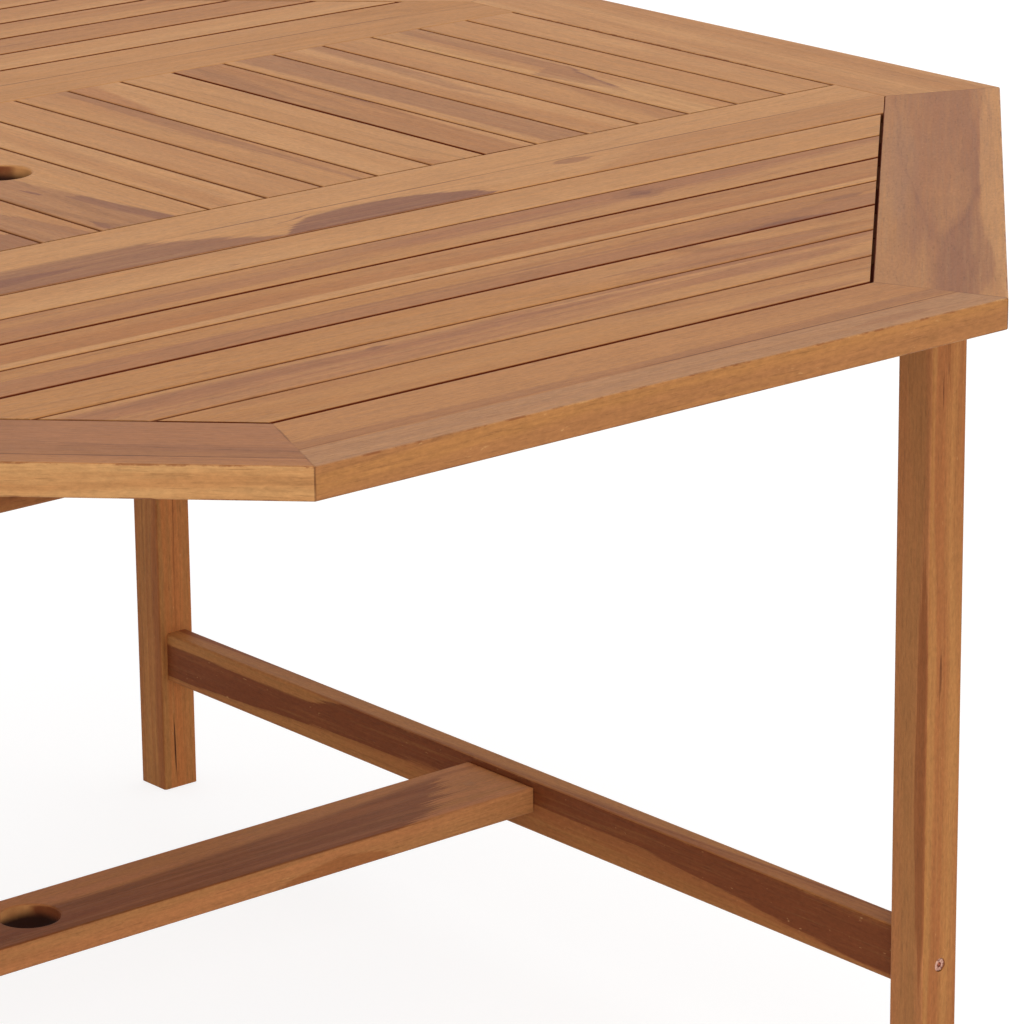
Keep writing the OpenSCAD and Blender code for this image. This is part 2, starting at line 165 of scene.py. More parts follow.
# Fine shade of the fibres, and the part of the eased edge that is worn and painted with a highlight and a
# shade line
FIBRE_SHADE = 0.4
EDGE_MARK_SPAN = (0.62, 0.95)

# Radius of the eased edges of the top's boards and of the frame's, and how strongly they are worn and
# painted with a highlight and a shade line
TOP_EASE = 0.0016
FRAME_EASE = 0.0024
RAIL_EDGE_MARKS = 0.75
FRAME_EDGE_MARKS = 0.2

# Painted shade and dirt in the gaps, darker where shade falls between the boards: the depth at which it
# begins in thin and other gaps and its waves, its strength in thin gaps, and how far in from the long edges
# and from the outline it goes
THIN_LINE = 0.00045
THICK_LINE = 0.00015
GAP_SHADE_AND_DIRT_WAVE = 0.0004
THIN_GAP_SHADE_AND_DIRT = 0.8
LONG_REACH = 0.006
OUTLINE_REACH = 0.012

# Slope of a mitre between two of eight rails
MITRE_SLOPE = math.tan(math.pi / 8)

# Bare bore: where the oiled rim gives way to the wall, the reach of its stains, and the waves in the painted
# shade that darkens it with depth
BORE_RIM = (0.0002, 0.0009)
BORE_STAIN = 1.6
BORE_SHADE_WAVE = 0.008

# Sheen: roughness as a slope on a noise and a level, and what the painted shade and dirt in the gaps adds to
# it
WOOD_ROUGHNESS = (0.18, 0.52)
GAP_SHADE_AND_DIRT_ROUGHNESS = 0.45
STEEL_ROUGHNESS = (0.3, 0.22)
TOP_GLOSS = 0.085
FRAME_GLOSS = 0.07
DOWEL_GLOSS = 0.08

# Relief: what pores and rings add to the fibres, its depths and its strength
PORE_RELIEF = -0.9
RING_RELIEF = 0.5
WOOD_RELIEF = 0.0003
STEEL_RELIEF = 0.0001
RELIEF_STRENGTH = 0.5

# Sockets of the Mix node that carry colours
MIX_FIRST = 6
MIX_SECOND = 7
MIX_RESULT = 2

STREAK_KNOTS = 9
TINY = 1e-6

# A patch of other colour on the faces of one side of a board. Its low and high
# bounds are a number or knots of (along, line), and both run in the board's frame.
# Half is 1 or -1 where only one board of a mirrored pair has it.
Patch = namedtuple(
    "Patch",
    "low high colour strength face feather half ragged",
    defaults=("top", 0.0025, 0, 0.03),
)

# A board's light and dark wood on its broad and its narrow faces, the seed of its
# noises, its pith's place and lean, its patches and the line between glued strips
Look = namedtuple(
    "Look",
    "top side seed pith tilt patches glue",
    defaults=((0.02, -0.07), (0.01, 0.02), (), None),
)

# Fold is how far the middle of each board of a mirrored pair is from X = 0.
Board = namedtuple("Board", "centre turn half fold", defaults=(None,))


def linear(colour):
    """Linear RGBA of an sRGB colour given in steps."""
    values = []
    for step in colour:
        share = step / SRGB_STEPS
        if share <= SRGB_KNEE:
            values.append(share / SRGB_SLOPE)
        else:
            values.append(((share + SRGB_OFFSET) / (1 + SRGB_OFFSET)) ** SRGB_POWER)
    return (*values, 1.0)


def streak(start, end, middle, half_width, slope, colour, strength, face="top", feather=0.002):
    """A patch shaped like a lens, pointed at both ends."""
    low = []
    high = []
    half_length = (end - start) / 2
    for knot in range(STREAK_KNOTS):
        share = 2 * knot / (STREAK_KNOTS - 1) - 1
        along = (start + end) / 2 + share * half_length
        line = middle + slope * share * half_length
        width = half_width * (1 - share * share) - feather * share * share
        low.append((along, line - width))
        high.append((along, line + width))
    return Patch(tuple(low), tuple(high), colour, strength, face, feather)


def left_without_sheen(strength):
    """A wide patch with a slanting end that warms the left part of a front slat: painted light, which stands
    in for the sheen that lies on the right part and not on the left.
    """
    return Patch(-0.05, ((-0.60, 0.05), (0.0, 0.03), (0.20, -0.04)), AMBER, strength, feather=0.020)


class Graph:
    """The node tree of a material or world, with one short call for each kind of node."""

    def __init__(self, owner):
        self.owner = owner
        owner.use_nodes = True
        self.tree = owner.node_tree
        self.tree.nodes.clear()

    def node(self, kind, **settings):
        """A new node with these settings."""
        made = self.tree.nodes.new(kind)
        for key, value in settings.items():
            setattr(made, key, value)
        return made

    def feed(self, socket, value):
        """Links a socket to another one, or sets it to a constant."""
        if isinstance(value, bpy.types.NodeSocket):
            self.tree.links.new(value, socket)
        else:
            socket.default_value = value

    def feed_all(self, sockets, values):
        """Feeds sockets in turn, as many as there are values for."""
        for socket, value in zip(sockets, values):
            self.feed(socket, value)

    def math(self, operation, first, second=0.0, third=0.0, clamp=False):
        """One step of arithmetic."""
        made = self.node("ShaderNodeMath", operation=operation, use_clamp=clamp)
        self.feed_all(made.inputs, (first, second, third))
        return made.outputs[0]

    def vector_math(self, operation, first, second):
        """One step of vector arithmetic."""
        made = self.node("ShaderNodeVectorMath", operation=operation)
        self.feed_all(made.inputs, (first, second))
        return made.outputs["Value"] if operation == "DOT_PRODUCT" else made.outputs["Vector"]

    def split(self, vector):
        """The three parts of a vector."""
        made = self.node("ShaderNodeSeparateXYZ")
        self.feed(made.inputs[0], vector)
        return made.outputs

    def join(self, parts):
        """A vector of three parts."""
        made = self.node("ShaderNodeCombineXYZ")
        self.feed_all(made.inputs, parts)
        return made.outputs[0]

    def smooth(self, value, low, high, to_low=0.0, to_high=1.0):
        """A smooth step from one result at low to another at high."""
        made = self.node("ShaderNodeMapRange", interpolation_type="SMOOTHSTEP")
        for name, number in (("From Min", low), ("From Max", high), ("To Min", to_low), ("To Max", to_high)):
            self.feed(made.inputs[name], number)
        self.feed(made.inputs["Value"], value)
        return made.outputs["Result"]

    def noise(self, vector, kind):
        """A noise over a place."""
        made = self.node("ShaderNodeTexNoise", noise_dimensions="3D")
        self.feed(made.inputs["Vector"], self.vector_math("MULTIPLY", vector, kind.scale))
        self.feed(made.inputs["Scale"], 1.0)
        self.feed(made.inputs["Detail"], kind.detail)
        self.feed(made.inputs["Roughness"], kind.roughness)
        return made.outputs[0]

    def line_noise(self, value, kind):
        """A noise over one number."""
        made = self.node("ShaderNodeTexNoise", noise_dimensions="1D")
        self.feed(made.inputs["W"], value)
        self.feed(made.inputs["Scale"], kind.scale)
        self.feed(made.inputs["Detail"], kind.detail)
        self.feed(made.inputs["Roughness"], kind.roughness)
        return made.outputs[0]

    def swing(self, value, reach, base=0.0):
        """A noise about its middle, turned into one about a base."""
        return self.math("MULTIPLY_ADD", self.math("SUBTRACT", value, NOISE_MIDDLE), reach, base)

    def curve(self, value, knots):
        """The knots' height at a value, straight between knots and level outside them."""
        if not isinstance(knots, tuple):
            return knots
        start = knots[0][0]
        length = knots[-1][0] - start
        low = min(height for _, height in knots)
        rise = max(height for _, height in knots) - low + TINY
        ramp = self.node("ShaderNodeValToRGB")
        stops = ramp.color_ramp.elements
        while len(stops) < len(knots):
            stops.new(0.5)
        for stop, (along, height) in zip(stops, knots):
            stop.position = (along - start) / length
            share = (height - low) / rise
            stop.color = (share, share, share, 1)
        self.feed(ramp.inputs[0], self.math("DIVIDE", self.math("SUBTRACT", value, start), length))
        return self.math("MULTIPLY_ADD", ramp.outputs[0], rise, low)

    def grey(self, value):
        """A grey of this brightness."""
        made = self.node("ShaderNodeCombineColor")
        for socket in made.inputs:
            self.feed(socket, value)
        return made.outputs[0]

    def mix(self, factor, first, second, blend="MIX"):
        """Two colours mixed by a factor."""
        made = self.node("ShaderNodeMix", data_type="RGBA", blend_type=blend)
        self.feed(made.inputs["Factor"], factor)
        self.feed(made.inputs[MIX_FIRST], first)
        self.feed(made.inputs[MIX_SECOND], second)
        return made.outputs[MIX_RESULT]

    def shader(self, kind, **constants):
        """A shader whose constants sit on its own sockets."""
        made = self.node(kind)
        for name, value in constants.items():
            made.inputs[name.replace("_", " ")].default_value = value
        return made

    def choose(self, lit, seen):
        """One shader for light on the object, and another for camera, mirror and glass rays."""
        rays = self.node("ShaderNodeLightPath").outputs
        direct = self.math("MAXIMUM", rays["Is Camera Ray"], rays["Is Glossy Ray"])
        direct = self.math("MAXIMUM", direct, rays["Is Transmission Ray"])
        choice = self.node("ShaderNodeMixShader")
        self.feed_all(choice.inputs, (direct, lit.outputs[0], seen.outputs[0]))
        return choice.outputs[0]

    def finish(self, colour, roughness, bump, bump_depth, **constants):
        """Joins a Principled shader and gives the finished material."""
        shader = self.shader("ShaderNodeBsdfPrincipled", **constants)
        self.feed(shader.inputs["Base Color"], colour)
        self.feed(shader.inputs["Roughness"], roughness)
        relief = self.shader("ShaderNodeBump", Strength=RELIEF_STRENGTH, Distance=bump_depth)
        self.feed(relief.inputs["Height"], bump)
        self.feed(shader.inputs["Normal"], relief.outputs["Normal"])
        output = self.node("ShaderNodeOutputMaterial")
        self.feed(output.inputs["Surface"], shader.outputs["BSDF"])
        return self.owner


def axes(turn):
    """Directions along, across and through a board turned by these angles."""
    spin = Matrix.Identity(3)
    for angle, axis in zip(turn, "XYZ"):
        spin = Matrix.Rotation(angle, 3, axis) @ spin
    return [tuple(spin @ Vector(unit)) for unit in ((1, 0, 0), (0, 1, 0), (0, 0, 1))]


class Wood:
    """One board's material, built up in its own frame: X along the grain, Y across it, Z through it."""

    def __init__(self, name, board, look):
        self.graph = Graph(bpy.data.materials.new(name))
        self.board = board
        self.look = look
        self.rng = random.Random(look.seed)
        graph = self.graph
        mapping = graph.node("ShaderNodeMapping", vector_type="TEXTURE")
        mapping.inputs["Location"].default_value = board.centre
        mapping.inputs["Rotation"].default_value = board.turn
        graph.feed(mapping.inputs["Vector"], graph.node("ShaderNodeTexCoord").outputs["Object"])
        local = mapping.outputs["Vector"]
        self.along, self.across, self.through = graph.split(local)
        shift = [self.rng.uniform(-SHIFT_REACH, SHIFT_REACH) for _ in range(3)]
        self.seeded = graph.vector_math("ADD", local, shift)
        self.plus_half = None
        self.gap_shade_and_dirt = None
        if board.fold:
            self.plus_half = graph.math("LESS_THAN", self.across, 0.0)
            self.across = graph.math("SUBTRACT", board.fold, graph.math("ABSOLUTE", self.across))
        along_axis, _, through_axis = axes(board.turn)
        normal = graph.node("ShaderNodeTexCoord").outputs["Normal"]
        self.level = graph.math("ABSOLUTE", graph.vector_math("DOT_PRODUCT", normal, through_axis))
        self.end = graph.math("ABSOLUTE", graph.vector_math("DOT_PRODUCT", normal, along_axis))
        self.on_top = graph.smooth(self.level, *BROAD_FACE)
        self.reach = graph.math("ABSOLUTE", self.along)
        self.from_side = graph.math("SUBTRACT", board.half[1], graph.math("ABSOLUTE", self.across))
        self.from_face = graph.math("SUBTRACT", board.half[2], graph.math("ABSOLUTE", self.through))

    def noise(self, kind):
        """A noise in the board's own frame."""
        return self.graph.noise(self.seeded, kind)

    def by_face(self, slope_and_level):
        """A strength that differs between the broad and the narrow faces."""
        return self.graph.math("MULTIPLY_ADD", self.on_top, *slope_and_level)

    def rings_about_pith(self):
        """Distance from the leaning pith, bent, and with steps at glue lines and between a pair."""
        graph = self.graph
        look = self.look
        bend = self.noise(BEND)
        side = graph.math("MULTIPLY_ADD", self.along, look.tilt[0], look.pith[0])
        side = graph.math("SUBTRACT", self.across, side)
        depth = graph.math("MULTIPLY_ADD", self.along, look.tilt[1], look.pith[1])
        depth = graph.math("SUBTRACT", self.through, depth)
        squares = graph.math("MULTIPLY_ADD", side, side, graph.math("MULTIPLY", depth, depth))
        radius = graph.math("ADD", graph.math("SQRT", squares), graph.swing(bend, BEND_REACH))
        self.seam = None
        if look.glue is not None:
            second = graph.math("GREATER_THAN", self.across, look.glue)
            radius = graph.math("MULTIPLY_ADD", second, STRIP_STEP, radius)
            away = graph.math("ABSOLUTE", graph.math("SUBTRACT", self.across, look.glue))
            self.seam = graph.smooth(away, *GLUE_LINE)
            jump = graph.join([graph.math("MULTIPLY", second, step) for step in STRIP_JUMP])
            self.seeded = graph.vector_math("ADD", self.seeded, jump)
        if self.plus_half is not None:
            radius = graph.math("MULTIPLY_ADD", self.plus_half, PAIR_STEP, radius)
        return graph.math("ADD", radius, self.rng.uniform(*RING_START))

    def grain(self):
        """Noises that follow the grain: growth zones and rings, fibres, wisps, pores and blotches."""
        place = self.rings_about_pith()
        self.zones = self.graph.line_noise(place, ZONES)
        self.rings = self.graph.line_noise(place, RINGS)
        self.fibres = self.noise(FIBRES)
        self.wisps = self.noise(WISPS)
        self.pores = self.noise(PORES)
        self.specks = self.noise(SPECKS)
        self.blotches = self.noise(BLOTCHES)
        self.mottle = self.noise(MOTTLE)

    def plain(self):
        """Colour of the sound wood, on the broad faces and on the narrow ones."""
        graph = self.graph
        look = self.look
        tone = graph.smooth(self.zones, *ZONE_RANGE)
        tone = graph.math("ADD", tone, graph.swing(self.rings, RING_TONE))
        tone = graph.math("ADD", tone, graph.swing(self.wisps, WISP_TONE))
        tone = graph.math("ADD", tone, graph.swing(self.blotches, BLOTCH_TONE), clamp=True)
        colour = graph.mix(tone, linear(look.top[0]), linear(look.top[1]))
        if look.side:
            side_tone = graph.math("ADD", tone, graph.swing(self.mottle, SIDE_TONE), clamp=True)
            side = graph.mix(side_tone, linear(look.side[0]), linear(look.side[1]))
            colour = graph.mix(self.on_top, side, colour)
        return colour

    def patch(self, colour, patch):
        """Lays a patch with feathered edges that follow the fibres over a colour."""
        graph = self.graph
        line = self.across if patch.face == "top" else self.through
        line = graph.math("ADD", line, graph.swing(self.wisps, WISP_WARP))
        line = graph.math("ADD", line, graph.swing(self.fibres, FIBRE_WARP))
        along = graph.math("ADD", self.along, graph.swing(self.fibres, patch.ragged))
        above = graph.math("SUBTRACT", line, graph.curve(along, patch.low))
        below = graph.math("SUBTRACT", graph.curve(along, patch.high), line)
        mask = graph.math("MINIMUM", above, below)
        mask = graph.smooth(mask, -patch.feather / 2, patch.feather / 2)
        mask = graph.math("MULTIPLY", mask, graph.smooth(self.fibres, *FIBRE_MASK))
        mask = graph.math("MULTIPLY", mask, graph.smooth(self.wisps, *WISP_MASK))
        if patch.face == "top":
            mask = graph.math("MULTIPLY", mask, self.on_top)
        else:
            mask = graph.math("MULTIPLY", mask, graph.math("SUBTRACT", 1.0, self.on_top))
        if patch.half > 0:
            mask = graph.math("MULTIPLY", mask, self.plus_half)
        if patch.half < 0:
            mask = graph.math("MULTIPLY", mask, graph.math("SUBTRACT", 1.0, self.plus_half))
        mask = graph.math("MULTIPLY", mask, patch.strength, clamp=True)
        return graph.mix(mask, colour, linear(patch.colour))

    def fine_shade(self, colour):
        """Darkens ring lines, fibres, pores and the end grain, and adds small pale nicks."""
        graph = self.graph
        shade = graph.swing(self.fibres, FIBRE_SHADE, 1.0)
        for noise, strength in ((self.specks, SPECK_SHADE), (self.mottle, MOTTLE_SHADE)):
            part = graph.math("MULTIPLY", graph.swing(noise, 1.0), self.by_face(strength))
            shade = graph.math("ADD", shade, part)
        for value, span in ((self.rings, RING_LINES), (self.pores, PORE_SHADE), (self.end, END_SHADE)):
            shade = graph.math("SUBTRACT", shade, graph.smooth(value, *span))
        colour = graph.mix(1.0, colour, graph.grey(shade), "MULTIPLY")
        nicks = graph.smooth(self.noise(NICKS), *NICK_RANGE)
        nicks = graph.math("MULTIPLY", nicks, graph.smooth(self.mottle, *NICK_PLACES))
        nicks = graph.math("MULTIPLY", nicks, self.by_face(NICK_SHADE))
        return graph.mix(nicks, colour, linear(CREAM))

    def wear_and_light_edges(self, colour, ease, strength):
        """Makes the long edges paler in places, wear with a painted highlight, and darker in others, a
        painted shade line along the arris.
        """
        graph = self.graph
        rim = graph.math("ADD", self.from_side, self.from_face)
        edge_band = graph.smooth(rim, EDGE_MARK_SPAN[0] * ease, EDGE_MARK_SPAN[1] * ease, strength, 0.0)
        places = self.noise(EDGE_MARK_PLACES)
        # Painted highlight mixed with wear where the places noise is high, and a painted shade line where it
        # is low
        highlight_and_wear = graph.math("MULTIPLY", edge_band, graph.smooth(places, *EDGE_WEAR_AND_HIGHLIGHT))
        edge_shade = graph.math("MULTIPLY", edge_band, graph.smooth(places, *EDGE_SHADE_LINE))
        colour = graph.mix(edge_shade, colour, linear(CHESTNUT))
        return graph.mix(highlight_and_wear, colour, linear(CREAM))

    def shade_and_dirty_gaps(self, colour, sides, thin):
        """Paints shade with dirt into gaps, darkening their walls and the faces sunk deep below the top:
        "all", the "inner" ones, the "long" ones or those by the "outline".
        """
        graph = self.graph
        upright = graph.smooth(self.level, *UPRIGHT_FACE)
        depth = graph.swing(self.noise(GAP_SHADE_AND_DIRT_PLACES), GAP_SHADE_AND_DIRT_WAVE, THIN_LINE if thin else THICK_LINE)
        sunk = graph.smooth(graph.math("SUBTRACT", self.from_face, depth), *GAP_SHADE_AND_DIRT_FADE)
        gap_shade_and_dirt = graph.math("MULTIPLY", upright, sunk)
        # Faces sunk deep below the top, such as tongues, take the painted shade at any slope
        gap_shade_and_dirt = graph.math("MAXIMUM", gap_shade_and_dirt, graph.smooth(self.from_face, *DEEP_FACE))
        if sides == "inner":
            gap_shade_and_dirt = graph.math("MULTIPLY", gap_shade_and_dirt, graph.math("GREATER_THAN", self.across, 0.0))
        if sides == "long":
            gap_shade_and_dirt = graph.math("MULTIPLY", gap_shade_and_dirt, graph.math("LESS_THAN", self.from_side, LONG_REACH))
        if sides == "outline":
            from_end = graph.math("SUBTRACT", self.board.half[0], self.reach)
            near = graph.math("MINIMUM", self.from_side, from_end)
            gap_shade_and_dirt = graph.math("MULTIPLY", gap_shade_and_dirt, graph.math("LESS_THAN", near, OUTLINE_REACH))
        self.gap_shade_and_dirt = graph.math("MULTIPLY", gap_shade_and_dirt, THIN_GAP_SHADE_AND_DIRT if thin else 1.0)
        return graph.mix(self.gap_shade_and_dirt, colour, linear(SHADE_AND_SOOT))

    def mitre(self, colour):
        """Draws the joint at both mitred ends of a rail as a thin dark line."""
        graph = self.graph
        half_length, half_width, _ = self.board.half
        half_middle = half_length - half_width * MITRE_SLOPE
        edge = graph.math("MULTIPLY_ADD", self.across, -MITRE_SLOPE, half_middle)
        line = graph.smooth(graph.math("SUBTRACT", edge, self.reach), *MITRE_LINE)
        seen = graph.smooth(self.noise(MITRE_PLACES), *MITRE_SEEN)
        seen = graph.math("ADD", seen, self.by_face(MITRE_SIDE))
        return graph.mix(graph.math("MULTIPLY", line, seen), colour, linear(BARK))

    def glue(self, colour):
        """Draws the glue line between two strips, strong in places and faint in others."""
        if self.seam is None:
            return colour
        graph = self.graph
        seen = graph.smooth(graph.line_noise(self.along, GLUE_PLACES), *GLUE_SEEN)
        seen = graph.math("MULTIPLY", seen, self.on_top)
        return graph.mix(graph.math("MULTIPLY", self.seam, seen), colour, linear(BARK))

    def bare_bore(self, colour, radius):
        """Leaves an upright hole through the middle bare: pale side grain and dark end grain, with painted
        shade that darkens the wall with depth.
        """
        graph = self.graph
        squares = graph.math("MULTIPLY", self.across, self.across)
        squares = graph.math("MULTIPLY_ADD", self.along, self.along, squares)
        away = graph.math("SQRT", squares)
        inside = graph.smooth(away, radius + BORE_RIM[0], radius + BORE_RIM[1], 1.0, 0.0)
        stains = graph.swing(self.noise(BORE_STAINS), BORE_STAIN)
        stains = graph.math("ADD", graph.smooth(self.end, *BORE_END), stains, clamp=True)
        wall = graph.mix(stains, linear(BARE), linear(CHESTNUT))
        # Painted shade: the wall darkens to near black with depth below the top face
        deep = graph.math("SUBTRACT", self.board.half[2], self.through)
        deep = graph.math("ADD", deep, graph.swing(self.noise(BORE_SHADE_NOISE), BORE_SHADE_WAVE))
        wall = graph.mix(graph.smooth(deep, *BORE_SHADE_DEPTH), wall, linear(BORE_SHADE))
        return graph.mix(inside, colour, wall)

    def finish(self, colour, gloss):
        """The finished material: rougher where the gaps hold painted shade and dirt, with the relief of
        fibres, rings and pores.
        """
        graph = self.graph
        relief = graph.math("MULTIPLY", graph.smooth(self.pores, *PORE_RANGE), PORE_RELIEF)
        relief = graph.math("ADD", relief, graph.math("MULTIPLY_ADD", self.rings, RING_RELIEF, self.fibres))
        roughness = graph.swing(self.fibres, *WOOD_ROUGHNESS)
        if self.gap_shade_and_dirt is not None:
            roughness = graph.math("MULTIPLY_ADD", self.gap_shade_and_dirt, GAP_SHADE_AND_DIRT_ROUGHNESS, roughness)
        return graph.finish(colour, roughness, relief, WOOD_RELIEF, Specular_IOR_Level=gloss)


def steel(name):
    """Zinc-plated steel with turning marks and a brown patina, both tinted pinkish brown as a painted
    reflection of the wood around it.
    """
    graph = Graph(bpy.data.materials.new(name))
    place = graph.node("ShaderNodeTexCoord").outputs["Object"]
    spots = graph.noise(place, STEEL_SPOTS)
    marks = graph.noise(place, TURNING_MARKS)
    colour = graph.mix(graph.smooth(spots, *PATINA_AND_REFLECTION_RANGE), linear(STEEL_WITH_REFLECTION), linear(PATINA_WITH_REFLECTION))
    roughness = graph.math("MULTIPLY_ADD", spots, *STEEL_ROUGHNESS)
    return graph.finish(colour, roughness, marks, STEEL_RELIEF, Metallic=1.0)


